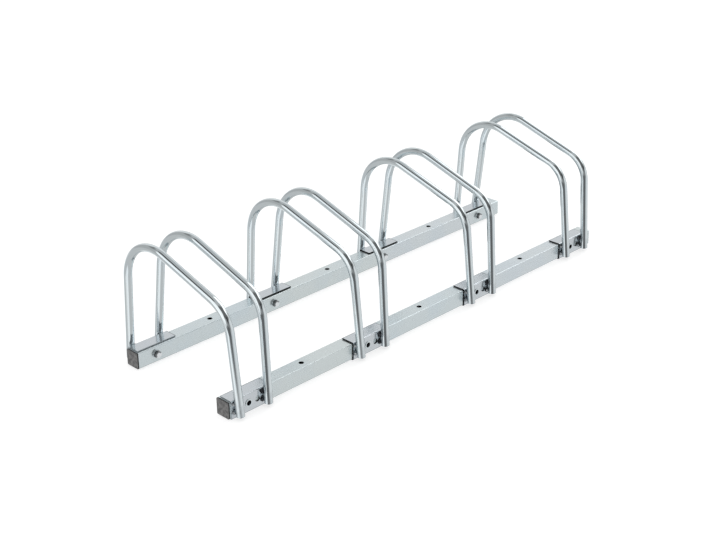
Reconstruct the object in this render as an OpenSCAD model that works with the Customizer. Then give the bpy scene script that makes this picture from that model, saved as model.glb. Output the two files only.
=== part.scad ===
// Floor bike rack: two square rails on the floor, joined by pairs of bent tube hoops.
// X runs along the rails, -Y is the low side of the hoops, and Z is up from the floor.
// Each hoop pair is welded to two U couplings, which hold the rail pieces end to end.

/* [Layout] */
// Number of bikes, one hoop pair each
places = 4; // [2:1:5]
// Length of one long rail piece, which sets the distance between hoop pairs
pitch = 314; // [290:1:360]
// How much further along its rail piece the first hoop pair sits
first_inset = 20; // [0:1:30]
// Depth of the base, outer face to outer face of the rails
rail_spread = 291; // [270:1:330]
// Length of the short rail piece under the last hoop pair
end_stub = 92; // [80:1:120]

/* [Rails] */
// Outer width and height of the square rail tube
rail_size = 32; // [28:1:38]
// Wall of the rail tube
rail_wall = 1; // [0.8:0.1:1.5]
// Outer corner radius of the rail tube
rail_corner = 2; // [1.6:0.1:3]
// Distance from a hoop pair's middle back to the rail seam
seam_back = 26; // [22:1:30]
// Length of the reduced rail end that slides into the next piece
plug_len = 50; // [40:1:60]
// Gap all round the reduced rail end
plug_gap = 0.3; // [0.2:0.05:0.5]
// Diameter of the floor anchor holes
anchor_d = 10; // [6:0.5:12]
// Distance from a rail piece's left end to its anchor hole
anchor_at = 182; // [150:1:200]

/* [Couplings] */
// Length of a coupling along the rail
coupling_len = 88; // [84:1:110]
// Sheet thickness of the coupling
coupling_wall = 2; // [1.5:0.1:3]
// How far the flanges reach over the rail
coupling_reach = 27; // [20:1:28]
// Gap between the upper flange and the rail
coupling_slip = 0.5; // [0.3:0.1:1]
// Outer radius of the coupling's two folds
fold_r = 3; // [2.5:0.1:3]
// Diameter of the unused hole in each coupling
spare_d = 10; // [6:0.5:12]
// Distance between the two holes of a coupling
hole_step = 20; // [18:1:22]

/* [Hoops] */
// Diameter of the hoop tube
tube_d = 16; // [14:0.5:20]
// Wall of the hoop tube
tube_wall = 1.2; // [1:0.1:2]
// Distance between the two hoops of a pair at the floor, axis to axis
foot_gap = 64; // [60:1:66]
// Outward lean of each hoop in degrees
splay = 1.6; // [0:0.1:3]
// Height of the open tube ends above the floor
foot_lift = 7; // [4:1:12]
// How deep the flat on each leg lies at the coupling's upper edge
tube_seat = 0.7; // [0.4:0.1:0.9]
// Height of the knee, where the front leg and the slope would cross
knee_z = 201; // [180:1:220]
// How far behind the front coupling's face the knee lies
knee_in = 4; // [0:1:10]
// Bend radius of the knee
knee_r = 59; // [50:1:70]
// Height of the crest, where the slope and the rear leg would cross
crest_z = 288; // [265:1:310]
// How far in front of the rear coupling's face the crest lies
crest_in = 22; // [10:1:30]
// Bend radius of the crest
crest_r = 88; // [70:1:95]
// How much the tube draws in at its bends, on the radius
bend_draw = 0.1; // [0.08:0.01:0.2]
// Radius of a weld nub
weld_r = 2.8; // [2.4:0.1:3.2]
// Sideways distance from a leg's axis to its weld nubs
weld_out = 7.6; // [7:0.1:8]

/* [Fasteners] */
// Thread diameter of the bolts
bolt_d = 8; // [6:1:8]
// Length of a bolt under its head
bolt_len = 30; // [28:1:33]
// Width across the flats of a bolt head
head_flats = 13; // [10:1:14]
// Height of a bolt head
head_h = 5.3; // [4:0.1:6.4]
// Outer diameter of a washer
washer_d = 16; // [15:0.5:18]
// Thickness of a washer
washer_t = 1.6; // [1:0.1:2]
// Distance from a hoop pair's middle back to its bolt
bolt_back = 5; // [3:1:8]
// Barrel diameter of a threaded insert
insert_d = 11; // [10:0.1:12]
// Barrel length of a threaded insert, from the coupling's outer face
insert_len = 12; // [10:1:14]
// Flange diameter of a threaded insert
insert_flange_d = 15; // [14:0.5:17]
// Flange thickness of a threaded insert
insert_flange_t = 1; // [0.6:0.1:1.5]

/* [End caps] */
// Thickness of the left caps' flange
cap_flange = 3; // [2:0.5:6]
// Length of a cap's hollow plug inside the rail
cap_plug = 12; // [8:1:18]
// Wall of a cap's plug
cap_wall = 2; // [1.5:0.1:3]
// Thickness of the flush caps at the right ends
cap_plate = 3; // [2:0.5:5]
// Gap between a cap's plug and the rail
cap_gap = 0.2; // [0.1:0.05:0.4]

/* [Hidden] */
$fn = 64;
zinc = [0.76, 0.78, 0.79];
bolt_zinc = [0.66, 0.67, 0.69];
weld_grey = [0.34, 0.35, 0.37];
cap_black = [0.13, 0.13, 0.14];

// Running gaps round the fasteners
thread_gap = 0.05;
washer_gap = 0.2;
bolt_gap = 0.5;
insert_gap = 0.1;
barrel_gap = 0.25;
weld_step = 4;
step_wall = 2;

// Heights of the rails and the couplings
rail_z = coupling_wall;
rail_mid_z = rail_z + rail_size / 2;
top_z = rail_z + rail_size + coupling_slip + coupling_wall;

// Lengths along the rack
rack_len = cap_flange + pitch * (places - 1) + end_stub;
rack_left = -rack_len / 2;
rack_right = rack_len / 2;
function seam_x(i) = rack_left + cap_flange + pitch * (i - 1);
function pair_inset(i) = i == 1 ? first_inset : 0;
function pair_x(i) = seam_x(i) + seam_back + pair_inset(i);
function bolt_x(i) = pair_x(i) - bolt_back;
function spare_x(i) = bolt_x(i) + hole_step;
function bolt_at(i) = seam_back + pair_inset(i) - bolt_back;

// Lean of the legs, and how far they stand out past the rails
tube_r = tube_d / 2;
seat_out = tube_r - tube_seat;
front_slope = (seat_out + knee_in) / (knee_z - top_z);
rear_slope = (seat_out + crest_in) / (crest_z - top_z);
function reach(slope) = seat_out + slope * (top_z - foot_lift) + tube_r / cos(atan(slope));
shift_y = (reach(front_slope) - reach(rear_slope)) / 2;

// Outer faces of the rails and of the couplings
front_face = shift_y - rail_spread / 2;
rear_face = shift_y + rail_spread / 2;
front_web = front_face - coupling_wall;
rear_web = rear_face + coupling_wall;

// Corners of the hoop's axis as [y, z], before the bends round them
knee = [front_web + knee_in, knee_z];
crest = [rear_web - crest_in, crest_z];
front_foot = [front_web - seat_out - front_slope * top_z, 0];
rear_foot = [rear_web + seat_out + rear_slope * top_z, 0];
rise_angle = direction(front_foot, knee);
slope_angle = direction(knee, crest);
fall_angle = direction(crest, rear_foot);
knee_cut = tangent(rise_angle, slope_angle, knee_r);
crest_cut = tangent(slope_angle, fall_angle, crest_r);
bend_lap = 1;

function direction(a, b) = atan2(b[1] - a[1], b[0] - a[0]);
function step(angle, length) = length * [cos(angle), sin(angle)];
function tangent(a, b, bend_r) = bend_r * tan((a - b) / 2);

rails = ["front", "rear"];
sides = ["left", "right"];
function hoop_name(i, side) = str("hoop_", i, "_", side);
function coupling_name(rail, i) = str(rail, "_coupling_", i);
function rail_name(rail, i) = i < places ? str(rail, "_rail_", i) : str(rail, "_rail_end");
function cap_name(rail, side) = str(rail, "_cap_", side);
function weld_name(i) = str("welds_", i);

// Places its children on one rail: y counts inward from the rail's outer face
module on_rail(rail) {
    if (rail == "front") {
        translate([0, front_face, 0]) children();
    } else {
        translate([0, rear_face, 0]) mirror([0, 1, 0]) children();
    }
}

// A square with round corners, from the origin
module round_square(size, corner) {
    translate([corner, 0]) square([size - 2 * corner, size]);
    translate([0, corner]) square([size, size - 2 * corner]);
    for (a = [corner, size - corner]) for (b = [corner, size - corner])
        translate([a, b]) circle(r = corner);
}

// A bar of round square section along +X, centred on the rail's middle
module bar(start, length, size, corner) {
    translate([start, (rail_size - size) / 2, rail_mid_z - size / 2])
        rotate([90, 0, 90])
            linear_extrude(length) round_square(size, corner);
}

// A cylinder along +Y at the rail's mid height
module cross_pin(x, from, to, radius) {
    translate([x, from, rail_mid_z])
        rotate([-90, 0, 0])
            cylinder(h = to - from, r = radius);
}

// Straight part of the hoop, in the hoop's own plane
module run(a, b, radius) {
    translate([a[0], a[1], 0])
        rotate([0, 0, direction(a, b)])
            rotate([0, 90, 0])
                cylinder(h = norm(b - a), r = radius);
}

// Bend of the hoop round one corner, turning from angle a down to angle b
module bend(corner, a, b, bend_r, radius) {
    centre = corner - step(a, tangent(a, b, bend_r)) + step(a - 90, bend_r);
    translate([centre[0], centre[1], 0])
        rotate([0, 0, b + 90 - bend_lap])
            rotate_extrude(angle = a - b + 2 * bend_lap)
                translate([bend_r, 0]) circle(r = radius - bend_draw);
}

// The hoop's two legs as rods of the given radius, in the hoop's own plane
module leg_rods(radius) {
    run(front_foot, knee - step(rise_angle, knee_cut), radius);
    run(crest + step(fall_angle, crest_cut), rear_foot, radius);
}

// The whole hoop as a rod of the given radius, in the hoop's own plane
module hoop_rod(radius) {
    leg_rods(radius);
    run(knee + step(slope_angle, knee_cut), crest - step(slope_angle, crest_cut), radius);
    bend(knee, rise_angle, slope_angle, knee_r, radius);
    bend(crest, slope_angle, fall_angle, crest_r, radius);
}

// Stands its children up in the place of one hoop
module in_hoop_place(i, side) {
    turn = side == "left" ? -1 : 1;
    translate([pair_x(i) + turn * foot_gap / 2, 0, 0])
        rotate([0, turn * splay, 0])
            rotate([90, 0, 90]) children();
}

// The space of both couplings of a pair, which the legs are cut flat against
module coupling_space(i) {
    translate([pair_x(i) - coupling_len, front_web, 0])
        cube([2 * coupling_len, rear_web - front_web, top_z]);
}

// Bent tube, open at both ends, with a flat on each leg where it meets the coupling
module hoop(i, side) {
    color(zinc) difference() {
        in_hoop_place(i, side) difference() {
            hoop_rod(tube_r);
            hoop_rod(tube_r - tube_wall);
        }
        coupling_space(i);
        translate([pair_x(i) - coupling_len, front_web - coupling_len, -coupling_len])
            cube([2 * coupling_len, rear_web - front_web + 2 * coupling_len, coupling_len + foot_lift]);
    }
}

// Section of a coupling as [inward distance, height]: a web with two flanges
module coupling_section() {
    inner_r = fold_r - coupling_wall;
    depth = coupling_wall + coupling_reach;
    difference() {
        union() {
            translate([fold_r, 0]) square([depth - fold_r, top_z]);
            translate([0, fold_r]) square([depth, top_z - 2 * fold_r]);
            for (z = [fold_r, top_z - fold_r]) translate([fold_r, z]) circle(r = fold_r);
        }
        translate([fold_r, coupling_wall]) square([depth, top_z - 2 * coupling_wall]);
        translate([coupling_wall, fold_r]) square([depth, top_z - 2 * fold_r]);
        for (z = [fold_r, top_z - fold_r]) translate([fold_r, z]) circle(r = inner_r);
    }
}

// Folded sheet coupling, with the insert's hole and one spare hole in its web
module coupling(rail, i) {
    color(zinc) on_rail(rail) difference() {
        translate([pair_x(i) - coupling_len / 2, -coupling_wall, 0])
            rotate([90, 0, 90])
                linear_extrude(coupling_len) coupling_section();
        cross_pin(bolt_x(i), -2 * coupling_wall, coupling_wall, insert_d / 2 + insert_gap);
        cross_pin(spare_x(i), -2 * coupling_wall, coupling_wall, spare_d / 2);
    }
}

// Holes for one bolt and its insert through both walls of a tube
module bolt_holes(x) {
    cross_pin(x, -coupling_wall, rail_size / 2, insert_d / 2 + barrel_gap);
    cross_pin(x, rail_size / 2, rail_size + coupling_wall, (bolt_d + bolt_gap) / 2);
}

// One rail piece: a square tube, with a reduced end unless it is the last
module rail_piece(rail, i) {
    last = i == places;
    length = last ? end_stub : pitch;
    bore = rail_size - 2 * rail_wall;
    plug = bore - 2 * plug_gap;
    plug_bore = plug - 2 * rail_wall;
    inner_corner = rail_corner - rail_wall;
    color(zinc) on_rail(rail) difference() {
        union() {
            bar(seam_x(i), length, rail_size, rail_corner);
            if (!last) bar(seam_x(i) + length - step_wall, step_wall + plug_len, plug, rail_corner);
        }
        bar(seam_x(i) - 1, length + 1 - (last ? -1 : step_wall), bore, inner_corner);
        if (!last) bar(seam_x(i) + length - 2 * step_wall, plug_len + 3 * step_wall, plug_bore, inner_corner);
        bolt_holes(bolt_x(i));
        if (!last) {
            bolt_holes(bolt_x(i + 1));
            translate([seam_x(i) + anchor_at, rail_size / 2, 0])
                cylinder(h = rail_z + rail_size + 1, d = anchor_d);
        }
    }
}

// Plastic end cap: a plate and a hollow plug, with a flange at the left end only
module end_cap(rail, side) {
    bore = rail_size - 2 * rail_wall;
    plug = bore - 2 * cap_gap;
    left = side == "left";
    start = left ? seam_x(1) : rack_right - cap_plate - cap_plug;
    hollow = left ? start : start - 1;
    color(cap_black) on_rail(rail) difference() {
        union() {
            bar(start, left ? cap_plug : cap_plate + cap_plug, plug, rail_corner - rail_wall);
            if (left) bar(start - cap_flange, cap_flange, rail_size, rail_corner);
        }
        bar(hollow, cap_plug + 1, plug - 2 * cap_wall, rail_corner - rail_wall);
    }
}

// Two nubs of weld, one above the other, beside a leg
module weld_tack(x, z, slope) {
    for (height = [z, z + weld_step]) {
        length = seat_out + slope * (top_z - height) - tube_r / 2;
        translate([x, -coupling_wall, height])
            rotate([90, 0, 0]) {
                cylinder(h = length, r = weld_r);
                translate([0, 0, length]) sphere(r = weld_r);
            }
    }
}

// All welds of one hoop pair, cut to the tubes that they hold
module welds(i) {
    tack_heights = [foot_lift + weld_r + 1, top_z - fold_r - weld_step - weld_r];
    color(weld_grey) difference() {
        for (rail = rails) on_rail(rail)
            for (turn = [-1, 1]) for (flank = [-1, 1]) for (z = tack_heights)
                weld_tack(
                    pair_x(i) + turn * (foot_gap / 2 + z * tan(splay)) + flank * weld_out,
                    z,
                    rail == "front" ? front_slope : rear_slope
                );
        for (side = sides) in_hoop_place(i, side) leg_rods(tube_r);
    }
}

// Hexagon bolts, put in from the inner face of each rail
module bolts() {
    under_head = rail_size + washer_t;
    color(bolt_zinc) for (rail = rails) for (i = [1:places]) on_rail(rail) {
        cross_pin(bolt_x(i), under_head - bolt_len, under_head, bolt_d / 2);
        translate([bolt_x(i), under_head, rail_mid_z])
            rotate([-90, 30, 0])
                cylinder(h = head_h, r = head_flats / 2 / cos(30), $fn = 6);
    }
}

// Plain washers under the bolt heads
module washers() {
    color(bolt_zinc) for (rail = rails) for (i = [1:places]) on_rail(rail) difference() {
        cross_pin(bolt_x(i), rail_size, rail_size + washer_t, washer_d / 2);
        cross_pin(bolt_x(i), rail_size - 1, rail_size + 2 * washer_t, bolt_d / 2 + washer_gap);
    }
}

// Flanged inserts riveted into the couplings, which the bolts screw into
module threaded_inserts() {
    color(bolt_zinc) for (rail = rails) for (i = [1:places]) on_rail(rail) difference() {
        union() {
            cross_pin(bolt_x(i), -coupling_wall, insert_len - coupling_wall, insert_d / 2);
            cross_pin(bolt_x(i), -coupling_wall - insert_flange_t, -coupling_wall, insert_flange_d / 2);
        }
        cross_pin(bolt_x(i), -3 * coupling_wall, insert_len, bolt_d / 2 + thread_gap);
    }
}

for (i = [1:places]) {
    for (side = sides)
        hoop(i, side);
    for (rail = rails) {
        coupling(rail, i);
        rail_piece(rail, i);
    }
    welds(i);
}
for (rail = rails) for (side = sides)
    end_cap(rail, side);
bolts();
washers();
threaded_inserts();
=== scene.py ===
import math

import bmesh
import bpy
from mathutils import Matrix, Vector, noise


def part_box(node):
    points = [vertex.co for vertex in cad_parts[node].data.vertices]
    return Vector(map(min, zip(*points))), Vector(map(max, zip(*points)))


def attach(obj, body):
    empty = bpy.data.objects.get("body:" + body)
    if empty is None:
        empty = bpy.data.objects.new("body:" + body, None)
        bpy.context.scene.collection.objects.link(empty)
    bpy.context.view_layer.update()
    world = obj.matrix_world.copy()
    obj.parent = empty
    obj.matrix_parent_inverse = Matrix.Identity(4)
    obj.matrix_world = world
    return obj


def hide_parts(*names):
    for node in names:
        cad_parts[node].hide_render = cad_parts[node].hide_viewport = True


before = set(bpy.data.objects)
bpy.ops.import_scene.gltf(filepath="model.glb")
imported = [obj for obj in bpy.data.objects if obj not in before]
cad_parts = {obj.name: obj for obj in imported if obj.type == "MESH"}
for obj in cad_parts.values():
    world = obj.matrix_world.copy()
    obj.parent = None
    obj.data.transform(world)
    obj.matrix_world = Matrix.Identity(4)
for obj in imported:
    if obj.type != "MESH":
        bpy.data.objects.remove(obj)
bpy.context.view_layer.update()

# The two rails lie on the floor, front and rear. Each is four pieces of square
# steel tube, zinc plated. The long pieces end in a drawn-in plug that slides into
# the next piece, and have one hole for a floor anchor.
rail_size = 0.032
rail_wall = 0.001
rail_corner = 0.002
rail_low = 0.002
rail_middle = rail_low + rail_size / 2
rail_edge = 0.00025
least_facing = 0.9
plug_reach = 0.050
plug_gap = 0.0003
anchor_radius = 0.005
anchor_at = 0.182
bolt_aside = 0.005
insert_hole_radius = 0.00575
bolt_hole_radius = 0.00425
inside_from, inside_to = 0.0007, 0.0004
front_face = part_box("front_rail_1")[0].y
rear_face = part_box("rear_rail_1")[1].y
rack_middle = (front_face + rear_face) / 2
rails = (("front", front_face, 1), ("rear", rear_face, -1))
pair_x = [sum(corner.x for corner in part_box(f"front_coupling_{i}")) / 2 for i in (1, 2, 3, 4)]
bolt_x = [x - bolt_aside for x in pair_x]


class Link:
    """A socket of a finish, on which each plain arithmetic sign adds one Math node."""

    def __init__(self, finish, socket):
        self.finish = finish
        self.socket = socket

    def maths(self, sign, first, second):
        return self.finish.node("ShaderNodeMath", {"operation": sign}, {0: first, 1: second})

    def __add__(self, other):
        return self.maths("ADD", self, other)

    def __radd__(self, other):
        return self.maths("ADD", other, self)

    def __sub__(self, other):
        return self.maths("SUBTRACT", self, other)

    def __rsub__(self, other):
        return self.maths("SUBTRACT", other, self)

    def __mul__(self, other):
        return self.maths("MULTIPLY", self, other)

    def __rmul__(self, other):
        return self.maths("MULTIPLY", other, self)

    def __truediv__(self, other):
        return self.maths("DIVIDE", self, other)

    def __pow__(self, other):
        return self.maths("POWER", self, other)

    def __abs__(self):
        return self.maths("ABSOLUTE", self, 0.0)


class Nodes:
    """A node tree that works in the given coordinates, or in those of a mesh's own attribute."""

    def __init__(self, tree, coordinates):
        self.tree = tree
        if coordinates in ("Object", "Generated"):
            self.place = self.node("ShaderNodeTexCoord", out=coordinates)
        else:
            self.place = self.node(
                "ShaderNodeAttribute", {"attribute_name": coordinates}, out="Vector")

    def node(self, kind, settings={}, inputs={}, out=0):
        """Adds one node: its settings first, then the values or links of its sockets."""
        made = self.tree.nodes.new(kind)
        for key, value in settings.items():
            setattr(made, key, value)
        for key, value in inputs.items():
            if isinstance(value, Link):
                self.tree.links.new(value.socket, made.inputs[key])
            else:
                made.inputs[key].default_value = value
        return Link(self, made.outputs[out])

    def clouds(self, size, detail=3.0, roughness=0.5, stretch=None):
        """Soft patches of about the given size in metres, drawn out where stretch says so."""
        place = self.place
        if stretch:
            place = self.node("ShaderNodeMapping", {}, {"Vector": place, "Scale": stretch})
        return self.node("ShaderNodeTexNoise", {}, {
            "Vector": place, "Scale": 1 / size, "Detail": detail, "Roughness": roughness})

    def between(self, value, low, high):
        """A soft step from 0 at the low value to 1 at the high one."""
        return self.node("ShaderNodeMapRange", {"interpolation_type": "SMOOTHSTEP"}, {
            "Value": value, "From Min": low, "From Max": high})

    def either(self, *masks):
        """A mask that is 1 where any of the given masks is."""
        neither = 1 - masks[0]
        for mask in masks[1:]:
            neither = neither * (1 - mask)
        return 1 - neither

    def axes(self):
        return [self.node("ShaderNodeSeparateXYZ", {}, {0: self.place}, out=axis)
                for axis in "XYZ"]

    def mixed(self, share, first, second):
        """The first colour where the share is 0, and the second where it is 1."""
        return self.node("ShaderNodeMix", {"data_type": "RGBA"}, {
            0: share, 6: first, 7: second}, out=2)

    def bumps(self, height, strength, distance):
        return self.node("ShaderNodeBump", {}, {
            "Height": height, "Strength": strength, "Distance": distance})


class Finish(Nodes):
    """One procedural finish: a Principled surface and the nodes that vary it."""

    def __init__(self, name, coordinates="Object", **constants):
        self.material = bpy.data.materials.new(name)
        self.material.use_nodes = True
        super().__init__(self.material.node_tree, coordinates)
        self.surface = self.tree.nodes["Principled BSDF"]
        for socket, value in constants.items():
            self.surface.inputs[socket.replace("_", " ")].default_value = value

    def feed(self, **sockets):
        """Links what varies over the surface to its sockets."""
        for socket, value in sockets.items():
            self.tree.links.new(value.socket, self.surface.inputs[socket.replace("_", " ")])
        return self.material


def tinted(colour, shares):
    return tuple(part * share for part, share in zip(colour, shares))


def zinc(name, tint, gloss, metal, coordinates="Object", darkened=None, dark=None):
    """Zinc plating with soft clouds, small pits and drawing lines along the first coordinate.

    The first mask gives where heat has greyed it, and the second where shade is painted near
    black.
    """
    cooler = tinted(tint, (0.975, 0.99, 1.01, 1))
    duller = tinted(tint, (0.86, 0.86, 0.86, 1))
    pit_grey = (0.42, 0.43, 0.44, 1)
    heat_grey = (0.25, 0.255, 0.27, 1)
    shade_black = (0.012, 0.014, 0.016, 1)
    finish = Finish(name, coordinates, Metallic=metal)
    cloud = finish.clouds(0.09, detail=4.0, roughness=0.6)
    bloom = finish.clouds(0.013)
    lines = finish.clouds(0.0014, detail=2.0, stretch=(0.02, 1, 1))
    speck = finish.clouds(0.0022, detail=2.0, roughness=0.7)
    colour = finish.mixed(finish.between(cloud, 0.42, 0.62), tint, cooler)
    dull = finish.between(bloom, 0.55, 0.78) * 0.12
    colour = finish.mixed(dull, colour, duller)
    pits = finish.between(speck, 0.70, 0.80)
    colour = finish.mixed(pits * 0.12, colour, pit_grey)
    rough = gloss + (cloud - 0.5) * 0.06 + (lines - 0.5) * 0.04 + dull * 0.2 + pits * 0.1
    if darkened:
        heat = darkened(finish) * finish.between(bloom + (cloud - 0.5) * 0.8, 0.30, 0.62)
        colour = finish.mixed(heat, colour, heat_grey)
        rough = rough + heat * 0.25
    # Painted shade: near black in the rails' insides, the bores, the gaps at the cut edges and the
    # bolts' upper rims.
    if dark:
        colour = finish.mixed(dark(finish), colour, shade_black)
    relief = finish.bumps(lines * 0.25 + bloom * 0.6, strength=0.04, distance=0.0004)
    return finish.feed(Base_Color=colour, Roughness=rough, Normal=relief)


def start(name, add, **where):
    """Adds a primitive as a new piece and opens it in edit mode, with nothing selected."""
    bpy.ops.object.select_all(action="DESELECT")
    add(**where)
    piece = bpy.context.object
    piece.name = piece.data.name = name
    bpy.ops.object.transform_apply(location=True, rotation=True, scale=True)
    bpy.ops.object.mode_set(mode="EDIT")
    bpy.ops.mesh.select_all(action="DESELECT")
    return piece


def block(name, add, **where):
    """Adds a primitive as a new piece, and leaves it in object mode."""
    piece = start(name, add, **where)
    bpy.ops.object.mode_set(mode="OBJECT")
    return piece


def pick(kind, test=lambda part: True):
    """Selects the faces, edges or verts of the piece in edit mode that pass the test."""
    kinds = ("verts", "edges", "faces")
    bpy.context.tool_settings.mesh_select_mode = [kind == each for each in kinds]
    bpy.ops.mesh.select_all(action="DESELECT")
    shape = bmesh.from_edit_mesh(bpy.context.object.data)
    shape.normal_update()
    for part in getattr(shape, kind):
        if test(part):
            part.select_set(True)
    shape.select_flush_mode()
    bmesh.update_edit_mesh(bpy.context.object.data)


def along_rack(edge):
    """How far an edge runs along the rack."""
    return abs(edge.verts[0].co.x - edge.verts[1].co.x)


def extrude(way):
    """Extrudes what is selected by the given way."""
    bpy.ops.mesh.extrude_region_move(TRANSFORM_OT_translate={"value": way})


def take(*pieces):
    """Selects the given pieces and nothing else, with the first one active."""
    bpy.ops.object.select_all(action="DESELECT")
    for piece in pieces:
        piece.select_set(True)
    bpy.context.view_layer.objects.active = pieces[0]


def use(piece, kind, **settings):
    """Adds one modifier to a piece and applies it."""
    take(piece)
    modifier = piece.modifiers.new(kind, kind)
    for key, value in settings.items():
        setattr(modifier, key, value)
    bpy.ops.object.modifier_apply(modifier=modifier.name)


def joined(parts, name):
    """Joins the parts to one piece, on the first of them."""
    take(*parts)
    if len(parts) > 1:
        bpy.ops.object.join()
    parts[0].name = parts[0].data.name = name
    return parts[0]


def drill(piece, *holes):
    """Cuts round holes: each is a middle point, a direction, a radius and a length."""
    cutters = []
    for spot, along, radius, length in holes:
        cutter = block(
            "cutter", bpy.ops.mesh.primitive_cylinder_add, vertices=48, radius=radius,
            depth=length, location=spot, rotation=Vector(along).to_track_quat("Z", "Y").to_euler())
        cutters.insert(0, cutter)
    cutter = joined(cutters, "cutter")
    use(piece, "BOOLEAN", operation="DIFFERENCE", object=cutter, solver="EXACT")
    bpy.data.objects.remove(cutter)


def smooth(degrees):
    """Shades the selected piece smooth, apart from edges sharper than the given angle."""
    bpy.ops.object.shade_smooth_by_angle(angle=math.radians(degrees))


def round_off(piece, width, segments=2):
    """Breaks a finished piece's sharp edges, and keeps its flats flat in the shading."""
    use(piece, "BEVEL", width=width, segments=segments, limit_method="ANGLE",
        angle_limit=math.radians(50))
    smooth(32)
    use(piece, "WEIGHTED_NORMAL", weight=100, keep_sharp=True)


def dress(piece, finish, node):
    """Gives a piece its finish, hangs it under the root body and hides the solid that it stands
    for.
    """
    piece.data.materials.clear()
    piece.data.materials.append(finish)
    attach(piece, "root")
    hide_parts(node)


def square_tube(name, left, right, outer, inward, plug):
    """A square tube along X with its outer face at the given y, and a plug at its right end."""
    tube = start(
        name, bpy.ops.mesh.primitive_cube_add, size=1,
        location=((left + right) / 2, outer + inward * rail_size / 2, rail_middle),
        scale=(right - left, rail_size, rail_size))
    pick("edges", lambda edge: along_rack(edge) > rail_size)
    bpy.ops.mesh.bevel(offset=rail_corner, segments=5, affect="EDGES")
    if plug:
        pick("faces", lambda face: face.normal.x > least_facing)
        bpy.ops.mesh.inset(thickness=rail_wall + plug_gap)
        extrude((plug_reach, 0, 0))
    least_end = (rail_size * 0.8) ** 2
    pick("faces", lambda face: abs(face.normal.x) > least_facing
         and face.calc_area() > least_end)
    bpy.ops.mesh.inset(thickness=rail_wall, use_individual=True)
    bpy.ops.mesh.delete(type="FACE")
    pick("edges", lambda edge: edge.is_boundary)
    bpy.ops.mesh.bridge_edge_loops()
    pick("faces")
    bpy.ops.mesh.normals_make_consistent(inside=False)
    bpy.ops.object.mode_set(mode="OBJECT")
    return tube


def inside_tube(finish):
    """The tube's inside, too deep for the light."""
    _, outward, height = finish.axes()
    rail_out = rear_face - rack_middle - rail_size / 2
    off_middle = finish.node("ShaderNodeMath", {"operation": "MAXIMUM"}, {
        0: abs(height - rail_middle), 1: abs(abs(outward - rack_middle) - rail_out)})
    half = rail_size / 2
    return 1 - finish.between(off_middle, half - inside_from, half - inside_to)


rail_finishes = [
    zinc(name, tint, gloss=0.27, metal=0.85, dark=inside_tube)
    for name, tint in (
        ("rail zinc, cool", (0.67, 0.74, 0.76, 1)),
        ("rail zinc, pale green", (0.685, 0.745, 0.75, 1)),
        ("rail zinc, pale lilac", (0.685, 0.74, 0.765, 1)),
    )
]
batches = {"front": (1, 0, 2, 1), "rear": (0, 1, 2, 0)}
for rail, outer, inward in rails:
    for count, part in enumerate(("1", "2", "3", "end")):
        low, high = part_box(f"{rail}_rail_{part}")
        last = part == "end"
        right = high.x if last else high.x - plug_reach
        tube = square_tube(f"{rail}_tube_{part}", low.x, right, outer, inward, not last)
        holes = []
        for x in bolt_x[count:count + (1 if last else 2)]:
            for y, radius in ((outer, insert_hole_radius),
                              (outer + inward * rail_size, bolt_hole_radius)):
                holes.append(((x, y, rail_middle), (0, 1, 0), radius, rail_size))
        if not last:
            anchor = (low.x + anchor_at, outer + inward * rail_size / 2, rail_middle)
            holes.append((anchor, (0, 0, 1), anchor_radius, 2 * rail_size))
        drill(tube, *holes)
        round_off(tube, rail_edge)
        finish = rail_finishes[batches[rail][count]]
        dress(tube, finish, f"{rail}_rail_{part}")

# Under each hoop pair a coupling wraps each rail: 2 mm zinc-plated sheet, folded to
# a U that is open to the rack's middle, with its edges left as they were cut. It has
# a hole for the threaded insert and a spare hole 20 mm further on.
sheet = 0.002
fold = 0.003
sheet_edge = 0.0003
coupling_half = 0.044
coupling_top = 0.0365
coupling_reach = 0.027
insert_hole = 0.0056
spare_radius = 0.005
spare_aside = 0.015
drill_length = 0.020
leg_apart = 0.0325
heat_near, heat_far = 0.007, 0.013
web_from, web_to = 0.010, 0.016
# How far the painted shade along the cut edges reaches, from its dark part to where it stops.
end_dark, end_unshaded = 0.0009, 0.0012
lip_dark, lip_unshaded = 0.0008, 0.0011
spare_dark, spare_unshaded = 0.0003, 0.0005
first_end = 0.042
first_lip = 0.026


def folded_coupling(name, x, outer, inward):
    """The U of sheet round the rail whose outer face is at the given y."""
    web = outer - inward * sheet
    lip = outer + inward * coupling_reach
    piece = start(
        name, bpy.ops.mesh.primitive_cube_add, size=1,
        location=(x, (web + lip) / 2, coupling_top / 2),
        scale=(2 * coupling_half, abs(lip - web), coupling_top))
    pick("edges", lambda edge: along_rack(edge) > coupling_half
         and abs(edge.verts[0].co.y - web) < 1e-5)
    bpy.ops.mesh.bevel(offset=fold, segments=6, affect="EDGES")
    pick("faces", lambda face: abs(face.normal.x) > least_facing
         or face.normal.y * inward > least_facing)
    bpy.ops.mesh.delete(type="FACE")
    bpy.ops.object.mode_set(mode="OBJECT")
    use(piece, "SOLIDIFY", thickness=sheet, offset=-1, use_even_offset=True)
    drill(piece, *(((x + aside, web, rail_middle), (0, 1, 0), radius, drill_length)
                   for aside, radius in ((-bolt_aside, insert_hole), (spare_aside, spare_radius))))
    round_off(piece, sheet_edge)
    return piece


def mark(piece, name, places):
    """Stores one place for each point of a piece, for its finish to work in."""
    marks = piece.data.attributes.new(name, "FLOAT_VECTOR", "POINT")
    for spot, place in zip(marks.data, places):
        spot.vector = place


def beside_legs(finish):
    """The web's spots beside the legs, greyed a little by the welding."""
    along, outward, _ = finish.axes()
    near = 1 - finish.between(abs(abs(along) - leg_apart), heat_near, heat_far)
    return near * finish.between(outward, web_from, web_to) * 0.15


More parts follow.
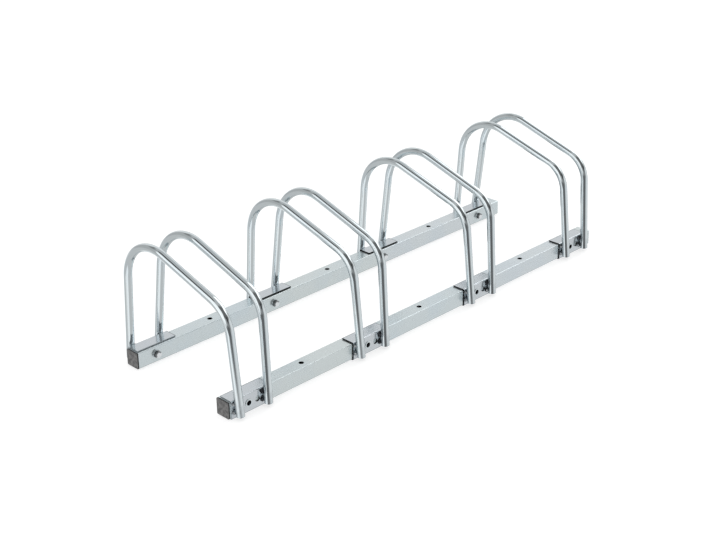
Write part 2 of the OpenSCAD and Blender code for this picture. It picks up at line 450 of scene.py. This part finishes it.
def shaded_cut_edges(finish):
    """Painted shade along the sheet's cut edges: near black at its two ends, the flanges' lips and
    the spare hole's wall, for the shadow in the gaps there.
    """
    along, outward, height = finish.axes()
    lip = rail_size / 2 - coupling_reach
    from_hole = ((along - spare_aside) ** 2 + (height - rail_middle) ** 2) ** 0.5
    return finish.either(
        finish.between(abs(along), coupling_half - end_unshaded, coupling_half - end_dark),
        1 - finish.between(outward, lip + lip_dark, lip + lip_unshaded),
        1 - finish.between(from_hole, spare_radius + spare_dark, spare_radius + spare_unshaded))


sheet_finish = zinc("coupling zinc", (0.62, 0.66, 0.69, 1), gloss=0.16, metal=0.94,
                    coordinates="coupling_place", darkened=beside_legs, dark=shaded_cut_edges)
for rail, outer, inward in rails:
    for count, x in enumerate(pair_x):
        piece = folded_coupling(f"{rail}_folded_coupling_{count + 1}", x, outer, inward)
        # The first pair's left ends lie against the caps and get no painted shade at their edge,
        # and its rear lips get only a faint one.
        end = first_end if count == 0 else coupling_half
        reach = first_lip if (count, rail) == (0, "rear") else coupling_reach
        mark(piece, "coupling_place", [
            (max(vert.co.x - x, -end),
             rail_size / 2 - min(inward * (vert.co.y - outer), reach),
             vert.co.z)
            for vert in piece.data.vertices])
        dress(piece, sheet_finish, f"{rail}_coupling_{count + 1}")

# Each hoop is one length of drawn round tube, bent twice and zinc plated, with its
# legs pressed flat where they are welded to the couplings. The ends are open.
tube_radius = 0.00797
tube_sides = 48
tube_wall = 0.0012
hoop_apart = 0.032
lean = math.radians(1.6)
foot_lift = 0.007
foot_band = 0.0005
flat_over = 0.002
ring_count = 14
ring_step = 0.0035
knee_z, knee_in, knee_bend = 0.201, 0.004, 0.059
crest_z, crest_in, crest_bend = 0.288, 0.022, 0.088
front_web = front_face - sheet
rear_web = rear_face + sheet
knee = Vector((0, front_web + knee_in, knee_z))
crest = Vector((0, rear_web - crest_in, crest_z))
seat_out = 0.0073
bend_step = 3
bend_flatten = 0.02
bend_ease = 0.15
leg_hot, leg_cool = 0.026, 0.044


def foot_of(corner, web, outward):
    """Where the axis of the leg below a bend meets the floor."""
    slope = (seat_out + outward * (web - corner.y)) / (corner.z - coupling_top)
    return Vector((0, corner.y + outward * slope * corner.z, 0))


def unbent_places(hoop):
    """Where each point would lie on the straight tube: along it, across it and above it."""
    verts = hoop.data.vertices
    rings = [verts[i:i + tube_sides] for i in range(0, len(verts), tube_sides)]
    axis = [sum((vert.co for vert in ring), Vector()) / tube_sides for ring in rings]
    places = []
    run = 0
    for count, ring in enumerate(rings):
        before, after = axis[max(0, count - 1)], axis[min(count + 1, len(axis) - 1)]
        run += (axis[count] - before).length
        upward = (after - before).normalized().cross((1, 0, 0))
        places += [(run, vert.co.x, (vert.co - axis[count]).dot(upward)) for vert in ring]
    return places


def flatten(hoop, bends):
    """Makes the tube a little flatter and wider in its bends, as bending does."""
    for vert in hoop.data.vertices:
        for centre, first, turn, radius in bends:
            arm = Vector((0, vert.co.y, vert.co.z)) - centre
            swing = math.atan2(first.cross(arm).x, first.dot(arm))
            edge = min(1, min(-swing, turn + swing) / bend_ease)
            if edge > 0 and abs(arm.length - radius) < 2 * tube_radius:
                squash = bend_flatten * edge ** 2 * (3 - 2 * edge)
                flat = radius + (arm.length - radius) * (1 - squash)
                aside = Vector((vert.co.x * (1 + squash / 2), 0, 0))
                vert.co = centre + arm * (flat / arm.length) + aside


def bent_tube(name):
    """The whole hoop in the plane x = 0, from the front foot to the rear foot."""
    front_foot, rear_foot = foot_of(knee, front_web, -1), foot_of(crest, rear_web, 1)
    path = [front_foot, knee, crest, rear_foot]
    ways = [(b - a).normalized() for a, b in zip(path, path[1:])]
    hoop = start(
        name, bpy.ops.mesh.primitive_circle_add, vertices=tube_sides, radius=tube_radius,
        location=front_foot, rotation=ways[0].to_track_quat("Z", "X").to_euler())
    pick("edges")
    foot_rings = [ring_step] * ring_count
    rings = foot_rings
    at = front_foot
    bends = []
    for corner, way, onward, radius in ((knee, ways[0], ways[1], knee_bend),
                                        (crest, ways[1], ways[2], crest_bend)):
        turn = way.angle(onward)
        bend_start = corner - way * radius * math.tan(turn / 2)
        for length in [*rings, (bend_start - at).length - sum(rings)]:
            extrude(way * length)
        inner = Vector((0, way.z, -way.y))
        centre = bend_start + inner * radius
        bpy.ops.mesh.spin(steps=round(math.degrees(turn) / bend_step), angle=turn,
                          center=centre, axis=(1, 0, 0))
        bends.append((centre, -inner, turn, radius))
        at = corner + onward * radius * math.tan(turn / 2)
        rings = []
    for length in [(rear_foot - at).length - sum(foot_rings), *foot_rings]:
        extrude(ways[2] * length)
    pick("faces")
    bpy.ops.mesh.normals_make_consistent(inside=False)
    bpy.ops.object.mode_set(mode="OBJECT")
    mark(hoop, "unbent_place", unbent_places(hoop))
    flatten(hoop, bends)
    return hoop


def copied(piece, name, turn):
    """Copies a piece with its own mesh, turned and moved in the mesh itself."""
    twin = piece.copy()
    twin.data = piece.data.copy()
    twin.name = twin.data.name = name
    bpy.context.scene.collection.objects.link(twin)
    twin.data.transform(turn)
    return twin


def placed_hoop(straight, name, x, side):
    """A copy of the hoop, leaned outward, cut level at its feet and flat at the couplings."""
    turn = Matrix.Translation((x + side * hoop_apart, 0, 0)) @ Matrix.Rotation(side * lean, 4, "Y")
    piece = copied(straight, name, turn)
    take(piece)
    bpy.ops.object.mode_set(mode="EDIT")
    pick("faces")
    bpy.ops.mesh.bisect(plane_co=(0, 0, foot_lift), plane_no=(0, 0, 1), clear_inner=True)
    bpy.ops.object.mode_set(mode="OBJECT")
    use(piece, "SOLIDIFY", thickness=tube_wall, offset=-1, use_even_offset=True)
    for vert in piece.data.vertices:
        if vert.co.z < foot_lift + foot_band:
            vert.co.z = foot_lift
        if vert.co.z < coupling_top + flat_over and front_web < vert.co.y < rear_web:
            vert.co.y = front_web if vert.co.y < 0 else rear_web
    smooth(40)
    return piece


def over_weld(finish):
    """The tube's lower ends beside the tacks, greyed by the welding."""
    real_place = finish.node("ShaderNodeTexCoord", out="Object")
    height = finish.node("ShaderNodeSeparateXYZ", {}, {0: real_place}, out="Z")
    return (1 - finish.between(height, leg_hot, leg_cool)) * 0.2


tube_finish = zinc("hoop zinc", (0.715, 0.775, 0.795, 1), gloss=0.08, metal=1.0,
                   coordinates="unbent_place", darkened=over_weld)
straight = bent_tube("straight_hoop")
for count, x in enumerate(pair_x):
    for side, word in ((-1, "left"), (1, "right")):
        piece = placed_hoop(straight, f"bent_hoop_{count + 1}_{word}", x, side)
        dress(piece, tube_finish, f"hoop_{count + 1}_{word}")
bpy.data.objects.remove(straight)

# The welds beside each leg are short hand-laid tacks of bare metal between the round
# tube and the flat of the coupling, two on either side of every leg. Those between
# a pair's legs are larger and get painted shade, near black, and the others are only grey.
weld_half_width = 0.0030
weld_half_height = 0.0046
weld_reach = 0.0048
weld_out = 0.0076
weld_low = foot_lift + 0.0058
weld_high = coupling_top - 0.0072
lower_grow = 0.8
upper_grow = 1.15
outer_grow = 0.55
lump_depth, lump_scale = 0.30, 1.7
ripple_depth, ripple_scale = 0.05, 14
seed_step = 7.3


def weld_bead(centre, outward, seed, grow, black):
    """One tack that bulges outward from the web at the given point, painted near black as shade or
    only grey.
    """
    bead = block("bead", bpy.ops.mesh.primitive_uv_sphere_add, segments=20, ring_count=14,
                 radius=1, location=(0, 0, 0))
    for vert in bead.data.vertices:
        lump = noise.noise(vert.co * lump_scale + Vector((seed, 0, 0))) * lump_depth
        ripple = ripple_depth * math.sin(vert.co.z * ripple_scale + seed)
        vert.co *= 1 + lump + ripple
        vert.co *= Vector((weld_half_width * grow, weld_reach, weld_half_height * grow))
    bead.data.transform(Matrix.Translation(centre))
    bpy.ops.object.mode_set(mode="EDIT")
    pick("faces")
    bpy.ops.mesh.bisect(plane_co=centre, plane_no=(0, outward, 0), clear_inner=True,
                        use_fill=True)
    bpy.ops.object.mode_set(mode="OBJECT")
    darkened = bead.data.attributes.new("darkened", "FLOAT", "POINT")
    for spot in darkened.data:
        spot.value = black
    return bead


def weld_metal():
    """Bare weld metal, with painted shade in mottled near-black patches on the beads between a
    pair's legs, and a few light spots that are painted highlights.
    """
    weld_shade_black = (0.020, 0.022, 0.027, 1)
    weld_shade_grey = (0.15, 0.16, 0.18, 1)
    plain_grey = (0.42, 0.44, 0.45, 1)
    bright_grey = (0.72, 0.76, 0.78, 1)
    finish = Finish("weld metal", Metallic=0.85)
    mottle = finish.clouds(0.004, detail=4.0, roughness=0.65)
    bright = finish.clouds(0.007, detail=2.0)
    darkened = finish.node("ShaderNodeAttribute", {"attribute_name": "darkened"}, out="Fac")
    weld_shade = finish.mixed(finish.between(mottle, 0.44, 0.70), weld_shade_black, weld_shade_grey)
    # Painted shade on the beads between a pair's legs, mottled near black.
    colour = finish.mixed(darkened, plain_grey, weld_shade)
    # Painted highlights: a few light spots on every bead.
    colour = finish.mixed(finish.between(bright, 0.62, 0.68), colour, bright_grey)
    relief = finish.bumps(mottle, strength=0.4, distance=0.0006)
    return finish.feed(Base_Color=colour, Roughness=0.28 + mottle * 0.35, Normal=relief)


weld_finish = weld_metal()
for count, x in enumerate(pair_x):
    beads = []
    for web, outward in ((front_web, -1), (rear_web, 1)):
        for side in (-1, 1):
            for flank in (-1, 1):
                for z, grow in ((weld_low, lower_grow), (weld_high, upper_grow)):
                    leg = x + side * (hoop_apart + z * math.tan(lean))
                    inner = side != flank
                    beads.append(weld_bead(
                        Vector((leg + flank * weld_out, web, z)), outward,
                        seed_step * len(beads) + count, grow if inner else outer_grow, inner))
    piece = joined(beads, f"weld_beads_{count + 1}")
    smooth(50)
    dress(piece, weld_finish, f"welds_{count + 1}")

# An M8 hexagon bolt with a plain washer holds each coupling and rail together. It
# is put in from the rack's middle and screws into a flanged insert, which is
# riveted into the coupling and shows as a light ring round a dark hole.
bolt_radius = 0.004
bolt_length = 0.030
bolt_tip = 0.0008
into_head = 0.0005
head_flats = 0.013
head_height = 0.0053
head_edge = 0.00025
chamfer_radius = 0.0061
chamfer_below = 0.001
chamfer_slope = 1 / math.tan(math.radians(30))
rim_from, rim_to = 0.0038, 0.0046
# Where the painted shade on the bolt's upper rim ends, and how it slants.
shade_to, shade_gone = 0.0072, 0.0078
shade_slant = 0.6
shade_low, shade_high = -0.0012, 0.0004
washer_radius = 0.008
washer_thick = 0.0016
washer_hole = 0.0042
washer_edge = 0.0003
insert_radius = 0.0055
insert_length = 0.012
insert_edge = 0.0003
flange_radius = 0.0075
flange_thick = 0.001
insert_bore = 0.00405
insert_mouth = 0.0050
bore_blur = 0.0003


def hexagon_bolt():
    """A bolt that stands on its shank, with the bearing face of its head at z = 0."""
    depth = head_height + chamfer_below
    cone = block(
        "chamfer", bpy.ops.mesh.primitive_cone_add, vertices=72,
        radius1=chamfer_radius + depth * chamfer_slope, radius2=chamfer_radius, depth=depth,
        location=(0, 0, head_height - depth / 2))
    bolt = block(
        "bolt", bpy.ops.mesh.primitive_cylinder_add, vertices=6,
        radius=head_flats / 2 / math.cos(math.radians(30)), depth=head_height,
        location=(0, 0, head_height / 2))
    use(bolt, "BOOLEAN", operation="INTERSECT", object=cone, solver="EXACT")
    bpy.data.objects.remove(cone)
    shank = block(
        "shank", bpy.ops.mesh.primitive_cylinder_add, vertices=48, radius=bolt_radius,
        depth=bolt_length + 2 * into_head, location=(0, 0, into_head - bolt_length / 2))
    round_off(shank, bolt_tip, segments=1)
    use(bolt, "BOOLEAN", operation="UNION", object=shank, solver="EXACT")
    bpy.data.objects.remove(shank)
    round_off(bolt, head_edge)
    return bolt


def plain_washer():
    """A washer with its upper face at z = 0."""
    washer = block(
        "washer", bpy.ops.mesh.primitive_cylinder_add, vertices=64, radius=washer_radius,
        depth=washer_thick, location=(0, 0, -washer_thick / 2))
    drill(washer, ((0, 0, 0), (0, 0, 1), washer_hole, drill_length))
    round_off(washer, washer_edge)
    return washer


def flanged_insert():
    """An insert with the underside of its flange at z = 0 and its barrel below."""
    insert = start(
        "insert", bpy.ops.mesh.primitive_cylinder_add, vertices=64, radius=insert_radius,
        depth=insert_length, location=(0, 0, -insert_length / 2))
    pick("faces", lambda face: face.normal.z > least_facing)
    extrude((0, 0, 0))
    wider = flange_radius / insert_radius
    bpy.ops.transform.resize(value=(wider, wider, 1), center_override=(0, 0, 0))
    extrude((0, 0, flange_thick))
    bpy.ops.object.mode_set(mode="OBJECT")
    drill(insert, ((0, 0, 0), (0, 0, 1), insert_bore, 2 * drill_length))
    for vert in insert.data.vertices:
        if vert.co.z > flange_thick - 0.0001 and vert.co.xy.length < insert_mouth:
            vert.co.xy *= insert_mouth / vert.co.xy.length
    round_off(insert, insert_edge)
    return insert


def in_bore(finish):
    """The insert's threaded bore, too narrow and deep for the light."""
    across, down, _ = finish.axes()
    radius = (across ** 2 + down ** 2) ** 0.5
    return 1 - finish.between(radius, insert_mouth - bore_blur, insert_mouth)


def shaded_rim(finish):
    """The upper rim of the bolt's head and the washer beside it, painted dark as shade on their
    upper side.
    """
    across, up, _ = finish.axes()
    radius = (across ** 2 + up ** 2) ** 0.5
    rim = finish.between(radius, rim_from, rim_to) * (1 - finish.between(radius, shade_to, shade_gone))
    return rim * finish.between(up - across * shade_slant, shade_low, shade_high) * 0.7


fastener_finish = zinc("fastener zinc", (0.78, 0.81, 0.83, 1), gloss=0.20, metal=0.95,
                       coordinates="own_place", dark=shaded_rim)
insert_finish = zinc("insert zinc", (0.70, 0.76, 0.78, 1), gloss=0.20, metal=0.85,
                     coordinates="own_place", dark=in_bore)
under_head = rail_size + washer_thick
for pattern, name, node, finish, depth, way in (
    (hexagon_bolt(), "hexagon_bolts", "bolts", fastener_finish, under_head, 1),
    (plain_washer(), "plain_washers", "washers", fastener_finish, under_head, 1),
    (flanged_insert(), "flanged_inserts", "threaded_inserts", insert_finish, -sheet, -1),
):
    mark(pattern, "own_place", [vert.co for vert in pattern.data.vertices])
    made = []
    for rail, outer, inward in rails:
        for x in bolt_x:
            seat = Matrix.Translation((x, outer + inward * depth, rail_middle))
            turn = seat @ Matrix.Rotation(-way * inward * math.pi / 2, 4, "X")
            made.append(copied(pattern, name, turn))
    bpy.data.objects.remove(pattern)
    dress(joined(made, name), finish, node)

# The open rail ends are closed by black moulded plastic caps with a fine grain. The
# left ones have a flange as large as the rail, and the right ones sit flush.
cap_flange = 0.003
cap_plug = 0.012
cap_wall = 0.002
cap_gap = 0.0002
cap_margin = 0.0022
least_corner = 0.0006
corner_steps = 6
dark_from, dark_to = 0.0006, 0.0009


def moulded_cap(name, face, into, outer, inward, flange):
    """A cap with its face at x = face, and its plug inside the rail on the +X or -X side."""
    middle = outer + inward * rail_size / 2
    bore = rail_size / 2 - rail_wall - cap_gap
    half = rail_size / 2 if flange else bore
    recess = half - cap_margin
    depth = cap_flange + cap_plug
    # Each ring of the mould is a depth behind the face and half a width.
    rings = [(0.0005, recess - 0.0004), (0.0001, recess), (0, recess + 0.0003),
             (0, half - 0.0005), (0.00015, half - 0.00015), (0.0005, half)]
    if flange:
        rings += [(cap_flange - 0.0004, half), (cap_flange - 0.0001, half - 0.0001),
                  (cap_flange, half - 0.0004), (cap_flange, bore)]
    rings += [(depth - 0.001, bore), (depth, bore - 0.0004),
              (depth, bore - cap_wall), (cap_flange, bore - cap_wall)]
    shape = bmesh.new()
    loops = []
    for deep, size in rings:
        corner = max(least_corner, rail_corner - (rail_size / 2 - size))
        loop = []
        for quarter, (right, up) in enumerate(((1, 1), (-1, 1), (-1, -1), (1, -1))):
            for step in range(corner_steps + 1):
                angle = math.radians(90 * (quarter + step / corner_steps))
                across = right * (size - corner) + math.cos(angle) * corner
                height = up * (size - corner) + math.sin(angle) * corner
                loop.append(shape.verts.new(
                    (face + into * deep, middle + across, rail_middle + height)))
        loops.append(loop)
    for first, second in zip(loops, loops[1:]):
        for i in range(len(first)):
            shape.faces.new((first[i - 1], first[i], second[i], second[i - 1]))
    shape.faces.new(loops[0])
    shape.faces.new(loops[-1])
    bmesh.ops.recalc_face_normals(shape, faces=shape.faces)
    cap = bpy.data.objects.new(name, bpy.data.meshes.new(name))
    shape.to_mesh(cap.data)
    shape.free()
    bpy.context.scene.collection.objects.link(cap)
    mark(cap, "cap_place", [
        vert.co - Vector((face, middle, rail_middle)) for vert in cap.data.vertices])
    take(cap)
    smooth(32)
    return cap


def moulded_plastic():
    """Black plastic with a moulded grain and some dust, darker behind the cap's face."""
    clean_black = (0.095, 0.095, 0.097, 1)
    dusty_black = (0.21, 0.208, 0.205, 1)
    unlit_black = (0.010, 0.010, 0.011, 1)
    finish = Finish("black cap plastic", "cap_place", Metallic=0.0, Specular_IOR_Level=0.3)
    grain = finish.clouds(0.0009, roughness=0.7)
    dust = finish.clouds(0.006, detail=4.0, roughness=0.6)
    dusty = finish.between(dust + grain * 0.4, 0.50, 0.88)
    colour = finish.mixed(dusty, clean_black, dusty_black)
    depth = abs(finish.axes()[0])
    behind = finish.between(depth, dark_from, dark_to)
    colour = finish.mixed(behind, colour, unlit_black)
    relief = finish.bumps(grain, strength=0.35, distance=0.0003)
    return finish.feed(Base_Color=colour, Roughness=0.48 + grain * 0.25, Normal=relief)


cap_finish = moulded_plastic()
for rail, outer, inward in rails:
    for side, corner, into in (("left", 0, 1), ("right", 1, -1)):
        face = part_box(f"{rail}_cap_{side}")[corner].x
        flange = side == "left"
        cap = moulded_cap(f"{rail}_moulded_cap_{side}", face, into, outer, inward, flange)
        dress(cap, cap_finish, f"{rail}_cap_{side}")

# The floor is a plain pale sheet that the camera sees as white, with the rack's
# shadow on it. A glossy ray passes through it, so that the metal mirrors the
# studio's surround from below too.
floor_size = 14
bounce_level = 0.80
seen_level, seen_glow = 0.50, 0.66


def grey(level):
    return (level, level, level, 1)


floor_finish = Finish("studio floor", Roughness=0.9, Emission_Strength=1)
camera_ray = floor_finish.node("ShaderNodeLightPath", out="Is Camera Ray")
glossy_ray = floor_finish.node("ShaderNodeLightPath", out="Is Glossy Ray")
floor_finish.feed(
    Base_Color=floor_finish.mixed(camera_ray, grey(bounce_level), grey(seen_level)),
    Emission_Color=floor_finish.mixed(camera_ray, grey(0), grey(seen_glow)),
    Alpha=1 - glossy_ray,
)
floor = block("floor", bpy.ops.mesh.primitive_plane_add, size=floor_size, location=(0, 0, 0))
floor.data.materials.append(floor_finish.material)

# The surround is a grey studio whose lamps and screens are flat panels, light and
# dark, that only the rack's gloss mirrors. The camera sees white behind the rack,
# and matt surfaces are lit by an even light grey.
world = bpy.data.worlds.new("studio")
bpy.context.scene.world = world
world.use_nodes = True
room = Nodes(world.node_tree, "Generated")
below_level, middle_level, above_level = 0.62, 0.50, 0.55
middle_from, middle_to = -0.14, 0.0
above_from, above_to = 0.42, 0.66
matt_level = 0.80


def direction(turn, rise):
    """The way that lies the given degrees round from +X and above the floor."""
    turn, rise = math.radians(turn), math.radians(rise)
    return Vector((
        math.cos(turn) * math.cos(rise), math.sin(turn) * math.cos(rise), math.sin(rise)))


def panel(surround, turn, rise, wide, high, soft, level):
    """Adds a soft-edged panel to the surround, its sizes given in degrees from its middle."""
    facing = direction(turn, rise)
    across = direction(turn + 90, 0)
    reach = [
        room.node("ShaderNodeVectorMath", {"operation": "DOT_PRODUCT"}, {
            0: room.place, 1: way}, out="Value")
        for way in (facing, across, facing.cross(across))]
    # Only the half of the surround on the panel's own side can show it.
    share = room.between(reach[0], 0.02, 0.12)
    for along, half in zip(reach[1:], (wide, high)):
        edge, blur = math.tan(math.radians(half)), math.tan(math.radians(soft))
        share = share * (1 - room.between(abs(along / reach[0]), edge - blur, edge + blur))
    return room.mixed(share, surround, grey(level))


height = room.node("ShaderNodeSeparateXYZ", {}, {0: room.place}, out="Z")
surround = room.mixed(
    room.between(height, middle_from, middle_to), grey(below_level), grey(middle_level))
surround = room.mixed(room.between(height, above_from, above_to), surround, grey(above_level))
for turn, rise, wide, high, soft, level in (
    (262, 48, 46, 22, 6, 0.16),
    (95, 43, 24, 9, 5, 0.28),
    (148, 58, 14, 10, 4, 0.06),
    (50, 20, 32, 28, 6, 0.86),
    (78, -32, 24, 18, 8, 1.05),
    (208, -41, 20, 15.5, 3, 1.05),
    (164, -11, 15, 12, 3, 0.95),
    (316, -7, 32, 28, 4, 0.84),
    (254, 12, 24, 15, 6, 0.28),
    (228, -11, 32, 14.5, 4, 0.15),
    (179, -25, 18, 8, 4, 1.12),
    (264, 26, 14, 9, 4, 0.03),
    (342, 40, 24, 12, 6, 1.80),
):
    surround = panel(surround, turn, rise, wide, high, soft, level)
glossy_ray = room.node("ShaderNodeLightPath", out="Is Glossy Ray")
surround = room.mixed(glossy_ray, grey(matt_level), surround)
camera_ray = room.node("ShaderNodeLightPath", out="Is Camera Ray")
surround = room.mixed(camera_ray, surround, grey(1))
room.tree.links.new(surround.socket, world.node_tree.nodes["Background"].inputs["Color"])

# Two soft boxes light the rack: a large one low at the left, and a tall narrow one
# that stands higher at the right, for the sides that the first leaves dark.
lamp_away = 4


def soft_box(name, turn, rise, wide, high, level):
    """A flat lamp that looks at the middle of the rack, its face as bright as the level."""
    lamp = bpy.data.objects.new(name, bpy.data.lights.new(name, "AREA"))
    lamp.data.shape = "RECTANGLE"
    lamp.data.size, lamp.data.size_y = wide, high
    lamp.data.energy = level * math.pi * wide * high
    lamp.location = direction(turn, rise) * lamp_away
    lamp.rotation_euler = direction(turn, rise).to_track_quat("Z", "Y").to_euler()
    bpy.context.scene.collection.objects.link(lamp)


soft_box("large soft box", turn=178, rise=19, wide=4.8, high=3.2, level=0.70)
soft_box("narrow soft box", turn=7, rise=36, wide=1.7, high=5.6, level=1.0)

# The camera stands high and to the left of the rack's front, as for the photograph,
# whose frame lies a little below the middle of the lens.
photo_width = 716
lens_in_pixels = 1348.3
sensor_width = 36
camera = bpy.data.objects.new("camera", bpy.data.cameras.new("camera"))
bpy.context.scene.collection.objects.link(camera)
bpy.context.scene.camera = camera
camera.location = (-1.7733, -1.7336, 1.1981)
camera.rotation_euler = [math.radians(turn) for turn in (68.431, 0.875, -45.117)]
camera.data.sensor_width = sensor_width
camera.data.lens = sensor_width * lens_in_pixels / photo_width
camera.data.shift_y = -0.0978

bpy.context.scene.view_settings.view_transform = "Standard"
